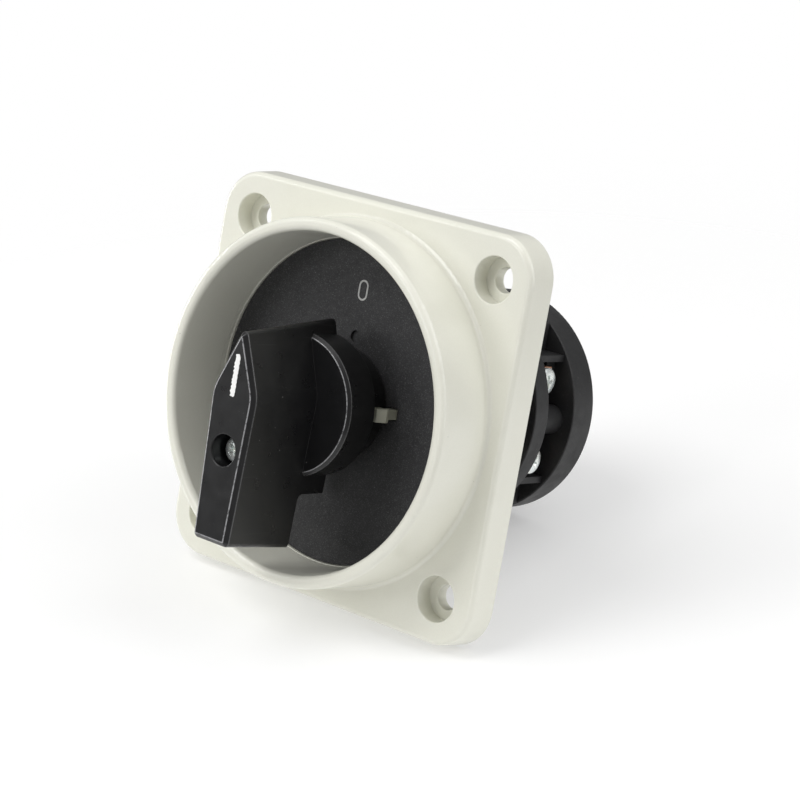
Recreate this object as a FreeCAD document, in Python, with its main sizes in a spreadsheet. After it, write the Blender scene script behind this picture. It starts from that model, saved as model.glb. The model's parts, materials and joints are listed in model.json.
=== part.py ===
"""Rotary isolator switch for panel mounting, two contact decks, two-pole each.

The frame: origin on the shaft axis in the plane of the front plate's back face, which lies on
the panel.  +X is to the right seen from the front, +Y goes back through the panel, +Z is up.
All lengths are millimetres.
"""
import FreeCAD, Part
import math
import os
import Sketcher
from FreeCAD import Placement, Rotation, Vector

# ---------------------------------------------------------------- driving dimensions
DIMENSIONS = {
    # front plate and collar
    "plate_side": 88.0, "plate_depth": 7.0, "plate_corner": 9.5, "plate_draft": 3.0,
    "plate_round": 1.2, "hole_pitch": 68.0, "hole_radius": 2.7, "bore_radius": 4.9,
    "bore_depth": 4.2, "boss_radius": 7.5, "relief_depth": 3.6, "relief_wall": 3.4,
    "relief_corner": 6.0, "pad_radius": 27.6, "rib_width": 1.6, "rib_set": 0.5,
    "collar_rise": 14.6, "collar_foot": 39.7, "collar_outer": 39.2, "collar_inner": 36.4,
    "collar_base": 35.3, "rim_round": 1.2, "collar_fillet": 0.9, "collar_split": 1.2,
    "dial_seat": 1.5, "bore_round": 0.25,
    # dial
    "dial_radius": 35.1, "dial_depth": 1.0, "dial_hole": 7.2, "dimple_radius": 1.3,
    "dimple_place": 14.4, "dimple_deep": 0.6, "zero_place": 24.5, "one_place": 26.6,
    "mark_tall": 4.5, "mark_wide": 2.6, "mark_line": 0.4, "mark_rise": 0.05,
    # snap hooks of the front plate, which pass through the dial
    "hook_inner": 12.7, "hook_outer": 14.8, "hook_wide": 2.1, "hook_head": 3.0,
    "hook_barb": 16.0, "hook_neck": 10.2, "hook_tip": 13.0, "hook_gap": 0.3,
    "hook_step": 0.9, "hook_round": 0.35, "hook_angle": -3.0,
    # handle
    "handle_front": 42.0, "handle_back": 14.2, "handle_base": 15.4, "base_front": 22.6,
    "base_bevel": 0.75, "base_heel": 0.35, "tip_front": 16.8, "tip_back": 20.6, "tip_round": 1.05,
    "shoulder_half": 6.17, "shoulder_place": 2.7, "shoulder_round": 9.0,
    "tail_front": 29.05, "tail_back": 30.8, "tail_half": 4.92, "tail_round": 1.1,
    "blade_bevel": 0.9, "blade_back_round": 0.9, "tail_step": 18.4, "tail_under": 22.5,
    "step_round": 1.2,
    "socket_radius": 12.1, "socket_floor": 19.1,
    "pointer_top": 10.6, "pointer_bottom": 1.8, "pointer_wide": 1.25, "pointer_sunk": 0.3,
    "screw_drop": 9.5, "screw_bore": 3.3, "screw_face": 38.9, "screw_head": 2.6,
    "screw_cheese": 1.8, "screw_shank": 1.5, "screw_end": 8.6, "fit_gap": 0.06,
    # drive hub and shaft
    "hub_radius": 12.0, "hub_back": 7.2, "shaft_side": 6.5, "shaft_front": 18.6,
    "shaft_back": 43.2, "journal_radius": 5.5, "journal_front": 6.8, "journal_back": 1.5,
    "tail_journal": 3.2, "tail_journal_end": 48.8, "bush_radius": 8.0,
    # index mechanism
    "body_radius": 26.2, "index_depth": 12.5, "index_wall": 2.5, "index_cavity": 17.0,
    "wheel_radius": 12.6, "wheel_front": 3.0, "wheel_back": 11.5, "notch_radius": 2.5,
    "notch_place": 13.2, "leaf_thick": 0.5, "leaf_nose": 11.2, "leaf_seat": 16.2,
    "leaf_half": 10.0, "leaf_front": 4.0, "leaf_back": 10.5, "stop_radius": 15.6,
    "stop_wide": 4.0,
    # contact decks
    "deck_pitch": 15.0, "disc_depth": 5.0, "disc_taper": 0.3, "disc_round": 0.3, "core_half": 14.5,
    "core_tall": 21.0, "tower_half": 5.0, "tower_tall": 24.4, "core_trim": 25.0,
    "shelf_half": 17.9, "bay_tall": 13.2, "bay_wall": 1.5, "bay_half": 20.0,
    "column_place": 19.4, "column_radius": 3.3,
    "chamber_radius": 10.4, "shaft_hole": 5.2,
    "cam_high": 9.5, "cam_low": 6.5, "cam_margin": 0.6,
    "plunger_half": 2.5, "plunger_top": 17.4, "plunger_gap": 0.15, "guide_depth": 6.0,
    "guide_start": 5.8, "well_end": 23.4,
    "bridge_half": 11.6, "bridge_low": 14.9, "bridge_thick": 1.2, "tip_thick": 0.8,
    "tip_radius": 1.8, "tip_place": 9.9, "bridge_room": 12.4, "bridge_ceiling": 17.8,
    "strip_inner": 7.9, "strip_low": 9.0, "strip_thick": 1.2, "strip_riser": 15.5,
    "strip_top": 12.0, "tab_outer": 19.5, "tab_low": 5.4, "strip_gap": 0.1,
    "spring_radius": 1.9, "spring_wire": 0.35, "spring_turns": 5.0,
    # terminals
    "terminal_place": 9.0, "terminal_deep": 8.4, "terminal_face": 21.8,
    "terminal_head": 3.0, "terminal_cheese": 1.6, "terminal_shank": 1.7,
    "terminal_end": 16.2, "clamp_half": 2.95, "recess_long": 3.4, "recess_wide": 0.75,
    "recess_deep": 1.0,
    # rear cover and tie screws
    "cover_depth": 8.0, "cover_radius": 25.5, "cover_taper": 0.3, "cover_round": 0.6,
    "tie_shank": 1.9, "tie_hole": 2.1, "tie_head": 3.4, "tie_cheese": 2.4, "tie_sunk": 0.4,
    "tie_start": 3.6, "tie_bore": 3.7, "dish_radius": 14.0, "dish_depth": 1.0,
    "fixing_place": 21.2, "fixing_head": 3.6, "fixing_cheese": 2.0, "fixing_shank": 1.9,
    "fixing_end": 9.5,
}
DECK_NAMES = ("front", "rear")
SIDES = (("left", -1), ("right", 1))
LEVELS = (("upper", 1), ("lower", -1))


class Size:
    """A length with the spreadsheet expression that drives it."""

    def __init__(self, value, text):
        self.value = value
        self.text = text

    def __add__(self, other):
        other = as_size(other)
        return Size(self.value + other.value, f"({self.text} + {other.text})")

    def __sub__(self, other):
        other = as_size(other)
        return Size(self.value - other.value, f"({self.text} - {other.text})")

    def __mul__(self, factor):
        return Size(self.value * factor, f"({self.text} * {factor})")

    def __truediv__(self, divisor):
        return Size(self.value / divisor, f"({self.text} / {divisor})")

    def __neg__(self):
        return self * -1

    def __rsub__(self, other):
        return as_size(other) - self

    __radd__ = __add__
    __rmul__ = __mul__


def as_size(number):
    """Take a Size as it is and wrap a plain number."""
    return number if isinstance(number, Size) else Size(float(number), repr(float(number)))


class Sheet:
    """The driving dimensions by name, each a Size bound to its spreadsheet cell."""

    def __init__(self, table):
        self.table = doc.addObject("Spreadsheet::Sheet", "dims")
        for row, (alias, number) in enumerate(table.items(), start=1):
            self.table.set(f"A{row}", alias)
            self.table.set(f"B{row}", str(number))
            self.table.setAlias(f"B{row}", alias)
            setattr(self, alias, Size(number, f"dims.{alias}"))


doc = FreeCAD.newDocument("rotary_isolator_switch")
d = Sheet(DIMENSIONS)
doc.recompute()
ZERO = as_size(0)
ALONG_X = Rotation(Vector(0, 1, 0), 90)
ALONG_Y = Rotation(Vector(1, 0, 0), -90)
ALONG_Z = Rotation()
sub_parts = []


# ---------------------------------------------------------------- building helpers
def bind(thing, prop, size):
    """Drive one property by its expression."""
    thing.setExpression(prop, size.text)


def place(thing, x, y, z, rotation=ALONG_Z):
    """Put a solid at a driven point."""
    thing.Placement = Placement(Vector(x.value, y.value, z.value), rotation)
    for axis, size in zip("xyz", (x, y, z)):
        bind(thing, f"Placement.Base.{axis}", size)


def box(x0, x1, y0, y1, z0, z1):
    """A block between driven limits."""
    solid = doc.addObject("Part::Box", "block")
    limits = [tuple(as_size(end) for end in pair) for pair in ((x0, x1), (y0, y1), (z0, z1))]
    for prop, (low, high) in zip(("Length", "Width", "Height"), limits):
        bind(solid, prop, high - low)
    place(solid, *(low for low, high in limits))
    return solid


def side_box(sign, x0, x1, y0, y1, level, z0, z1):
    """A block given for the upper right quarter, mirrored by the signs of its side and level."""
    xs = (sign * x0, sign * x1) if sign > 0 else (sign * x1, sign * x0)
    zs = (level * z0, level * z1) if level > 0 else (level * z1, level * z0)
    return box(*xs, y0, y1, *zs)


def rod(radius, start, length, rotation=ALONG_Y):
    """A round bar from a driven point along one axis."""
    solid = doc.addObject("Part::Cylinder", "bar")
    bind(solid, "Radius", as_size(radius))
    bind(solid, "Height", as_size(length))
    place(solid, *(as_size(value) for value in start), rotation)
    return solid


def taper(front_radius, back_radius, y0, length):
    """A slightly conical disc on the shaft axis."""
    solid = doc.addObject("Part::Cone", "disc")
    bind(solid, "Radius1", front_radius)
    bind(solid, "Radius2", back_radius)
    bind(solid, "Height", length)
    place(solid, ZERO, y0, ZERO, ALONG_Y)
    return solid


def turned(solid, angle):
    """A solid turned about the shaft axis; positive is clockwise seen from the front."""
    result = group(solid)
    result.Placement = Placement(Vector(), Rotation(Vector(0, 1, 0), as_size(angle).value))
    if isinstance(angle, Size):
        bind(result, "Placement.Rotation.Angle", angle)
    return result


def fuse(*shapes):
    """Join solids into one."""
    union = doc.addObject("Part::MultiFuse", "union")
    union.Shapes = list(shapes)
    union.Refine = True
    return union


def cut(base, *tools):
    """Take one or more tools away from a base."""
    result = doc.addObject("Part::Cut", "cut")
    result.Base = base
    result.Tool = tools[0] if len(tools) == 1 else fuse(*tools)
    result.Refine = True
    return result


def common(base, tool):
    """Keep what two solids share."""
    result = doc.addObject("Part::Common", "shared")
    result.Base = base
    result.Tool = tool
    return result


def group(*solids):
    """Keep identical pieces together as separate solids."""
    result = doc.addObject("Part::Compound", "group")
    result.Links = list(solids)
    return result


def sub_part(label, thing):
    """Name a finished piece and remember it for export."""
    thing.Label = label
    sub_parts.append(thing)
    return thing


def edge_names(shape, wanted):
    """The names of the edges that pass a test."""
    return [f"Edge{i}" for i, edge in enumerate(shape.Edges, start=1) if wanted(edge)]


def rounded(base, radius, wanted):
    """Round the edges of a solid that pass a test."""
    doc.recompute()
    fillet = doc.addObject("Part::Fillet", "rounding")
    fillet.Base = base
    names = edge_names(base.Shape, wanted)
    fillet.Edges = [(int(name[4:]), radius.value, radius.value) for name in names]
    return fillet


def new_body(label):
    """An empty PartDesign body."""
    body = doc.addObject("PartDesign::Body", label)
    return body


def sketch_on(body, role, offset=ZERO):
    """A sketch on one of the body's origin planes, moved along the plane's normal."""
    sketch = body.newObject("Sketcher::SketchObject", "outline")
    plane = next(item for item in body.Origin.OriginFeatures if item.Role == role)
    sketch.AttachmentSupport = [(plane, "")]
    sketch.MapMode = "FlatFace"
    sketch.setExpression("AttachmentOffset.Base.z", offset.text)
    return sketch


def drive(sketch, kind, geometry, vertex, size):
    """Hold a point at a driven distance from the sketch's origin."""
    number = sketch.addConstraint(
        Sketcher.Constraint(kind, -1, 1, geometry, vertex, size.value))
    sketch.setExpression(f"Constraints[{number}]", size.text)


def polygon(sketch, corners):
    """A closed outline of straight lines with every corner driven."""
    corners = [(as_size(u), as_size(v)) for u, v in corners]
    first = sketch.GeometryCount
    count = len(corners)
    points = [Vector(u.value, v.value, 0) for u, v in corners]
    for index in range(count):
        line = Part.LineSegment(points[index], points[(index + 1) % count])
        sketch.addGeometry(line, False)
    for index, (u, v) in enumerate(corners):
        following = first + (index + 1) % count
        sketch.addConstraint(Sketcher.Constraint("Coincident", first + index, 2, following, 1))
        drive(sketch, "DistanceX", first + index, 1, u)
        drive(sketch, "DistanceY", first + index, 1, v)


def feature(body, kind, sketch, **sizes):
    """Add a sketch-based feature and bind its sizes."""
    step = body.newObject(f"PartDesign::{kind}", kind.lower())
    step.Profile = sketch
    for prop, size in sizes.items():
        bind(step, prop, as_size(size))
    return step


def pad(label, corners, y_back, y_front):
    """A body padded from an outline in the X-Z plane, from its back forwards."""
    body = new_body(label)
    sketch = sketch_on(body, "XZ_Plane", -as_size(y_back))
    polygon(sketch, corners)
    feature(body, "Pad", sketch, Length=as_size(y_back) - y_front)
    return body


def revolve(label, corners):
    """A body turned about the shaft axis from an outline of (radius, y) corners."""
    body = new_body(label)
    sketch = sketch_on(body, "XY_Plane")
    polygon(sketch, corners)
    turn = feature(body, "Revolution", sketch)
    turn.ReferenceAxis = (sketch, ["V_Axis"])
    turn.Angle = 360
    return body


def body_fillet(body, radius, wanted):
    """Round a body's edges that pass a test."""
    doc.recompute()
    base = body.Tip
    fillet = body.newObject("PartDesign::Fillet", "rounding")
    fillet.Base = (base, edge_names(base.Shape, wanted))
    bind(fillet, "Radius", radius)
    return fillet


def rounded_slab(label, half, corner, y_back, y_front, draft=None):
    """A square slab with rounded corners, drafted towards its front if asked."""
    body = pad(label, [(-half, -half), (half, -half), (half, half), (-half, half)],
               y_back, y_front)
    if draft is not None:
        bind(body.Tip, "TaperAngle", -draft)
    depth = abs(as_size(y_back).value - as_size(y_front).value)
    body_fillet(body, corner, lambda edge: edge.BoundBox.YLength > 0.9 * depth)
    return body


def at_plane(y):
    """A test for edges that lie in a plane across the shaft axis."""
    return lambda edge: edge.BoundBox.YLength < 0.01 and abs(edge.BoundBox.YMin - y.value) < 0.01


def circle_at(y, radius):
    """A test for a full-round edge at one place on the shaft axis."""
    flat = at_plane(y)
    return lambda edge: flat(edge) and abs(edge.BoundBox.XMax - radius.value) < 0.05


def rim_at(edge, y, radius):
    """Whether an edge is a full circle of some radius in a plane across the shaft axis."""
    return at_plane(y)(edge) and abs(edge.BoundBox.XLength - 2 * radius.value) < 0.05


def soft_disc(y0, depth):
    """One stage's black disc with broken edges."""
    disc = taper(d.body_radius, d.body_radius - d.disc_taper, y0, depth)
    return rounded(disc, d.disc_round, lambda edge: edge.BoundBox.YLength < 0.01)


# ---------------------------------------------------------------- front plate and dial
plate_front = -d.plate_depth
dial_back = plate_front + d.dial_seat
dial_front = dial_back - d.dial_depth
collar_front = plate_front - d.collar_rise
half_pitch = d.hole_pitch / 2
CORNERS = [(x, z) for x in (-1, 1) for z in (-1, 1)]


def corner_rods(radius, y0, length):
    """One bar on each corner hole's axis."""
    return [rod(radius, (x * half_pitch, y0, z * half_pitch), length) for x, z in CORNERS]


def collar():
    """The guard ring around the handle, with a rounded rim."""
    body = revolve("collar_ring", [
        (d.collar_base, dial_back), (d.collar_inner, collar_front),
        (d.collar_outer, collar_front), (d.collar_foot, plate_front),
        (d.collar_foot, dial_back)])
    body_fillet(body, d.rim_round, at_plane(collar_front))
    return body


def back_relief():
    """The hollow in the plate's back: it leaves the rim, the centre pad, bosses and lower ribs."""
    reach = d.plate_side / 2
    hollow = rounded_slab("relief", reach - d.relief_wall, d.relief_corner,
                          as_size(0.5), -d.relief_depth)
    rib = d.rib_width / 2
    depth = (-d.relief_depth - 0.5, -d.rib_set)
    ribs = [box(-reach, reach, *depth, -rib, rib), box(-rib, rib, *depth, -reach, reach)]
    for angle in (45, -45):
        ribs.append(turned(box(-reach, reach, *depth, -rib, rib), angle))
    pad_rod = rod(d.pad_radius, (0, -d.relief_depth - 0.5, 0), d.relief_depth + 2)
    bosses = corner_rods(d.boss_radius, -d.relief_depth - 0.5, d.relief_depth + 2)
    return cut(hollow, pad_rod, *bosses, *ribs)


def hook(angle):
    """A snap hook: a stem that passes through the dial and a barb that faces outwards."""
    half = d.hook_wide / 2
    head = d.hook_head / 2
    stem = pad("hook_stem", [
        (d.hook_inner, -half), (d.hook_outer, -half), (d.hook_outer, half),
        (d.hook_inner, half)], dial_back + 0.5, -d.hook_tip)
    barb = new_body("hook_barb")
    sketch = sketch_on(barb, "XY_Plane", -head)
    polygon(sketch, [
        (d.hook_inner, -d.hook_neck), (d.hook_barb, -d.hook_neck),
        (d.hook_barb, -d.hook_neck - d.hook_step), (d.hook_outer, -d.hook_tip),
        (d.hook_inner, -d.hook_tip)])
    feature(barb, "Pad", sketch, Length=d.hook_head)
    body_fillet(barb, d.hook_round, lambda edge: True)
    return [turned(stem, d.hook_angle + angle), turned(barb, d.hook_angle + angle)]


def front_plate():
    """The moulding, as two nodes: the plate with its seat, holes and hooks, and the collar."""
    flange = rounded_slab("flange", d.plate_side / 2, d.plate_corner, ZERO, plate_front,
                          d.plate_draft)
    body_fillet(flange, d.plate_round, at_plane(plate_front))
    blank = fuse(flange, collar())
    foot = rounded(blank, d.collar_fillet, circle_at(plate_front, d.collar_foot))
    seat = rod(d.collar_base, (0, plate_front - 1, 0), d.dial_seat + 1)
    shaft_hole = rod(d.bush_radius, (0, plate_front - 1, 0), d.plate_depth + 2)
    bores = corner_rods(d.bore_radius, plate_front - 1, d.bore_depth + 1)
    holes = corner_rods(d.hole_radius, plate_front - 1, d.plate_depth + 2)
    fixings = []
    for sign in (-1, 1):
        spot = (ZERO, dial_back - 1, sign * d.fixing_place)
        fixings.append(rod(d.fixing_head + 0.2, spot, d.fixing_cheese + 1))
        fixings.append(rod(d.fixing_shank + 0.2, spot, d.plate_depth + 1))
    sharp = cut(foot, seat, shaft_hole, *bores, *holes, *fixings, back_relief())
    shell = rounded(sharp, d.bore_round, lambda edge: rim_at(
        edge, plate_front, d.bore_radius) or rim_at(
        edge, plate_front + d.bore_depth, d.hole_radius))
    studs = hook(0) + hook(180)
    above = rod(d.collar_foot + 2, (0, collar_front - 1, 0), d.collar_rise + 1 - d.collar_split)
    sub_part("collar", common(shell, above))
    return sub_part("front_plate", fuse(cut(shell, above), *studs))


def dial_plate():
    """The black dial disc, with openings for the shaft and the hooks, and two dimples."""
    disc = rod(d.dial_radius, (0, dial_front, 0), d.dial_depth)
    deep = (dial_front - 1, dial_back + 1)
    gap = d.hook_gap
    openings = [rod(d.dial_hole, (0, dial_front - 1, 0), d.dial_depth + 2)]
    for angle in (0, 180):
        slot = box(d.hook_inner - gap, d.hook_outer + gap, *deep,
                   -d.hook_wide / 2 - gap, d.hook_wide / 2 + gap)
        openings.append(turned(slot, d.hook_angle + angle))
        openings.append(rod(d.dimple_radius, (0, dial_front - 1, (1 - angle / 90) * d.dimple_place),
                            d.dimple_deep + 1))
    return sub_part("dial_plate", cut(disc, *openings))


def stadium(half_wide, half_tall, y0, depth, centre):
    """An upright bar with round ends, for printed figures."""
    x, z = (as_size(value) for value in centre)
    straight = half_tall - half_wide
    return fuse(box(x - half_wide, x + half_wide, y0, y0 + depth, z - straight, z + straight),
                rod(half_wide, (x, y0, z + straight), depth),
                rod(half_wide, (x, y0, z - straight), depth))


def dial_marks():
    """The figures 0 at the top and 1 at the right, printed on the dial."""
    front = dial_front - d.mark_rise
    wide = d.mark_wide / 2
    tall = d.mark_tall / 2
    top = (ZERO, d.zero_place)
    inner = stadium(wide - d.mark_line, tall - d.mark_line, front - 1, d.mark_rise + 2, top)
    sub_part("dial_mark_zero", cut(stadium(wide, tall, front, d.mark_rise, top), inner))
    line = d.mark_line
    x = d.one_place
    sub_part("dial_mark_one", pad("figure_one", [
        (x, -tall), (x + line, -tall), (x + line, tall), (x, tall),
        (x - line * 2.5, tall - line * 2), (x - line * 2.5, tall - line * 3.2),
        (x, tall - line * 1.2)], dial_front, front))


# ---------------------------------------------------------------- handle and shaft
def blade_section(body, y, tip, tail):
    """One cross section of the handle's blade: a pointed top and a narrower tail."""
    sketch = sketch_on(body, "XZ_Plane", -y)
    polygon(sketch, [
        (ZERO, tip), (-d.shoulder_half, d.shoulder_place), (-d.tail_half, -tail),
        (d.tail_half, -tail), (d.shoulder_half, d.shoulder_place)])
    return sketch


def lengthwise(edge):
    """A test for the blade's long edges."""
    return edge.BoundBox.YLength > 20


def blade():
    """The grip: lofted from its flared back to its front, rounded, and bevelled in front."""
    body = new_body("blade")
    back = blade_section(body, -d.handle_back, d.tip_back, d.tail_back)
    front = blade_section(body, -d.handle_front, d.tip_front, d.tail_front)
    loft = feature(body, "AdditiveLoft", back)
    loft.Sections = [front]
    loft.Ruled = True
    shoulder = d.shoulder_place.value
    body_fillet(body, d.shoulder_round, lambda edge: (
        lengthwise(edge) and abs(edge.BoundBox.ZMax - shoulder) < 0.1))
    body_fillet(body, d.tip_round, lambda edge: lengthwise(edge) and edge.BoundBox.XLength < 0.01
                and abs(edge.BoundBox.XMin) < 0.01)
    body_fillet(body, d.tail_round, lambda edge: (
        lengthwise(edge) and edge.BoundBox.ZMax < -d.tail_front.value + 0.1))
    doc.recompute()
    base = body.Tip
    bevel = body.newObject("PartDesign::Chamfer", "bevel")
    bevel.Base = (base, edge_names(base.Shape, at_plane(-d.handle_front)))
    bind(bevel, "Size", d.blade_bevel)
    body_fillet(body, d.blade_back_round, at_plane(-d.handle_back))
    return body


def tail_clearance():
    """What is taken from under the blade's tail, with a rounded inner corner."""
    reach = d.tail_back + 5
    block = box(-d.handle_base, d.handle_base, -d.tail_under, -d.handle_back + 2,
                -reach, -d.tail_step)
    return rounded(block, d.step_round, lambda edge: (
        edge.BoundBox.XLength > 20
        and abs(edge.BoundBox.YMin + d.tail_under.value) < 0.01
        and abs(edge.BoundBox.ZMax + d.tail_step.value) < 0.01))


def handle():
    """The handle: a round base with the blade across it."""
    base = revolve("base", [
        (ZERO, -d.handle_back), (ZERO, -d.base_front), (d.handle_base - d.base_bevel, -d.base_front),
        (d.handle_base, -d.base_front + d.base_bevel), (d.handle_base, -d.handle_back - d.base_heel),
        (d.handle_base - d.base_heel, -d.handle_back)])
    solid = fuse(base, cut(blade(), tail_clearance()))
    bore_axis = (ZERO, -d.handle_front - 1, -d.screw_drop)
    seat = d.handle_front - d.screw_face + d.screw_cheese
    screw_bore = rod(d.screw_bore, bore_axis, seat + 1)
    shank_hole = rod(d.screw_shank + 0.2, bore_axis, d.handle_front)
    socket = rod(d.socket_radius, (0, -d.socket_floor, 0), 10)
    half = d.pointer_wide / 2
    mark_slot = pointer_shape(half, -d.handle_front - 1, d.pointer_sunk + 1)
    return sub_part("handle", cut(solid, screw_bore, shank_hole, socket, mark_slot))


def pointer_shape(half, y0, depth):
    """The pointer line's outline with round ends."""
    middle = (d.pointer_top + d.pointer_bottom) / 2
    tall = (d.pointer_top - d.pointer_bottom) / 2
    return stadium(half, tall, y0, depth, (ZERO, middle))


def cross_screw(head, cheese, shank, total, recess=None):
    """A screw along +Y with its head's face at the origin and a cross recess."""
    blank = revolve("screw", [
        (ZERO, ZERO), (head - 0.3, ZERO), (head, as_size(0.5)), (head, cheese),
        (shank, cheese), (shank, total - 0.5), (shank - 0.5, total), (ZERO, total)])
    long = (recess or d.recess_long) / 2
    wide = d.recess_wide / 2
    bars = [box(-long, long, -1, d.recess_deep, -wide, wide),
            box(-wide, wide, -1, d.recess_deep, -long, long)]
    return cut(blank, *bars)


def standing(screw, position, rotation=ALONG_Z):
    """Move a screw, built along +Y at the origin, to its driven place."""
    place(screw, *(as_size(value) for value in position), rotation)
    return screw


def shaft():
    """The square shaft with a round front journal and a round tail journal."""
    half = d.shaft_side / 2
    bar = pad("bar", [(-half, -half), (half, -half), (half, half), (-half, half)],
              d.shaft_back, -d.shaft_front)
    journal = rod(d.journal_radius, (0, -d.journal_front, 0), d.journal_front + d.journal_back)
    tail = rod(d.tail_journal, (0, d.shaft_back - 1, 0), d.tail_journal_end - d.shaft_back + 1)
    return sub_part("shaft", fuse(bar, journal, tail))


def square_hole(y0, y1):
    """The shaft's square, a little larger, for the parts that ride on it."""
    half = d.shaft_side / 2 + d.fit_gap
    return box(-half, half, y0, y1, -half, half)


def rotor_parts():
    """The handle and all that is screwed to it or carried by the shaft at the front."""
    handle()
    half = d.pointer_wide / 2 - 0.02
    floor = d.pointer_sunk - 0.01
    sub_part("handle_pointer_mark", pointer_shape(half, -d.handle_front, floor))
    length = d.screw_face - d.screw_end
    screw = cross_screw(d.screw_head, d.screw_cheese, d.screw_shank, length)
    sub_part("handle_screw", standing(screw, (ZERO, -d.screw_face, -d.screw_drop)))
    hub = rod(d.hub_radius, (0, -d.socket_floor + d.fit_gap, 0), d.socket_floor - d.hub_back)
    screw_hole = rod(d.screw_shank + d.fit_gap, (0, -d.socket_floor - 1, -d.screw_drop),
                     d.socket_floor)
    sub_part("drive_hub", cut(hub, screw_hole, square_hole(-d.socket_floor - 1, ZERO)))
    shaft()


def shaft_bush():
    """The bearing ring of the shaft in the front plate."""
    ring = rod(d.bush_radius - 0.02, (0, dial_back, 0), -dial_back)
    hole = rod(d.journal_radius + d.fit_gap, (0, dial_back - 1, 0), 2 - dial_back)
    sub_part("shaft_bush", cut(ring, hole))


# ---------------------------------------------------------------- index mechanism
def index_housing():
    """The first black disc behind the panel, with the chamber of the index wheel."""
    solid = soft_disc(ZERO, d.index_depth)
    cavity = rod(d.index_cavity, (0, d.index_wall, 0), d.index_depth)
    shaft_hole = rod(d.journal_radius + 0.5, (0, -1, 0), d.index_depth)
    ties = [rod(d.tie_shank + d.fit_gap, (s * d.column_place, d.tie_start - 0.4, 0), d.index_depth)
            for s in (-1, 1)]
    fixings = [rod(d.fixing_shank + d.fit_gap, (0, -1, s * d.fixing_place), d.fixing_end + 1.4)
               for s in (-1, 1)]
    shell = cut(solid, cavity, shaft_hole, *ties, *fixings)
    return sub_part("index_housing", fuse(shell, *travel_stops()))


def travel_stops():
    """Two posts inside the index chamber that end the quarter turn."""
    clear = (d.stop_wide.value + 0.35) / (d.wheel_radius.value + 0.4)
    spread = math.degrees(clear)
    half = d.stop_wide / 2
    posts = []
    for angle in (180 + 45 - spread, 270 + 45 + spread):
        post = box(-half, half, d.index_wall - 0.5, d.index_depth - 1, d.wheel_radius + 0.4,
                   d.index_cavity + 1)
        posts.append(turned(post, angle))
    return posts


def index_wheel():
    """The star wheel: four round notches and one lug that meets the travel stops."""
    depth = d.wheel_back - d.wheel_front
    disc = rod(d.wheel_radius, (0, d.wheel_front, 0), depth)
    half = d.stop_wide / 2
    lug = turned(box(-half, half, d.wheel_front, d.wheel_back, d.wheel_radius - 3,
                     d.stop_radius), 225)
    notches = [rod(d.notch_radius, (x * d.notch_place, d.wheel_front - 1, z * d.notch_place),
                   depth + 2) for x, z in ((0, 1), (1, 0), (0, -1), (-1, 0))]
    hole = square_hole(ZERO, d.index_depth + 1)
    sub_part("index_wheel", cut(fuse(disc, lug), *notches, hole))


def index_spring(level_name, level):
    """A spring-steel leaf across the chamber whose bent nose sits in a notch of the wheel."""
    thick = d.leaf_thick
    outer = d.leaf_seat * level
    nose = d.leaf_nose * level
    step = thick * level
    half = d.leaf_half * 0.5
    tip = as_size(0.9)
    corners = [
        (-half, outer), (-tip, nose), (tip, nose), (half, outer),
        (half - 0.6, outer), (tip * 0.5, nose + step), (-tip * 0.5, nose + step),
        (-half + 0.6, outer)]
    body = pad(f"leaf_{level_name}", corners, d.leaf_back, d.leaf_front)
    sub_part(f"index_spring_{level_name}", body)


# ---------------------------------------------------------------- contact decks
def deck_start(index):
    """The front face of a deck's disc."""
    return d.index_depth + index * d.deck_pitch


def deck_housing(name, index):
    """One deck: a disc, and behind it the contact chamber with its terminal bays."""
    y0 = deck_start(index)
    y1 = y0 + d.disc_depth
    y2 = y0 + d.deck_pitch
    depth = y2 - y1
    disc = soft_disc(y0, d.disc_depth)
    core = common(
        fuse(box(-d.core_half, d.core_half, y1 - 1, y2, -d.core_tall, d.core_tall),
             box(-d.tower_half, d.tower_half, y1 - 1, y2, -d.tower_tall, d.tower_tall),
             box(-d.shelf_half, d.shelf_half, y1 - 1, y2, -d.bay_tall, d.bay_tall),
             *(box(-d.bay_half, d.bay_half, y1 - 1, y2, *sorted_pair(level * d.bay_tall,
               level * (d.bay_tall + d.bay_wall))) for _, level in LEVELS)),
        rod(d.core_trim + 1, (0, y1 - 1, 0), depth + 1))
    columns = []
    for sign in (-1, 1):
        columns.append(rod(d.column_radius, (sign * d.column_place, y1 - 1, 0), depth + 1))
    tools = [rod(d.shaft_hole, (0, y0 - 1, 0), d.deck_pitch),
             rod(d.chamber_radius, (0, y1, 0), depth + 1)]
    tools += [rod(d.tie_hole, (s * d.column_place, y0 - 1, 0), d.deck_pitch + 2) for s in (-1, 1)]
    for _, level in LEVELS:
        tools += contact_room(y0, level)
    sub_part(f"deck_housing_{name}", cut(fuse(disc, core, *columns), *tools))


def sorted_pair(first, second):
    """Two sizes, lower first."""
    return (first, second) if first.value < second.value else (second, first)


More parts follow.
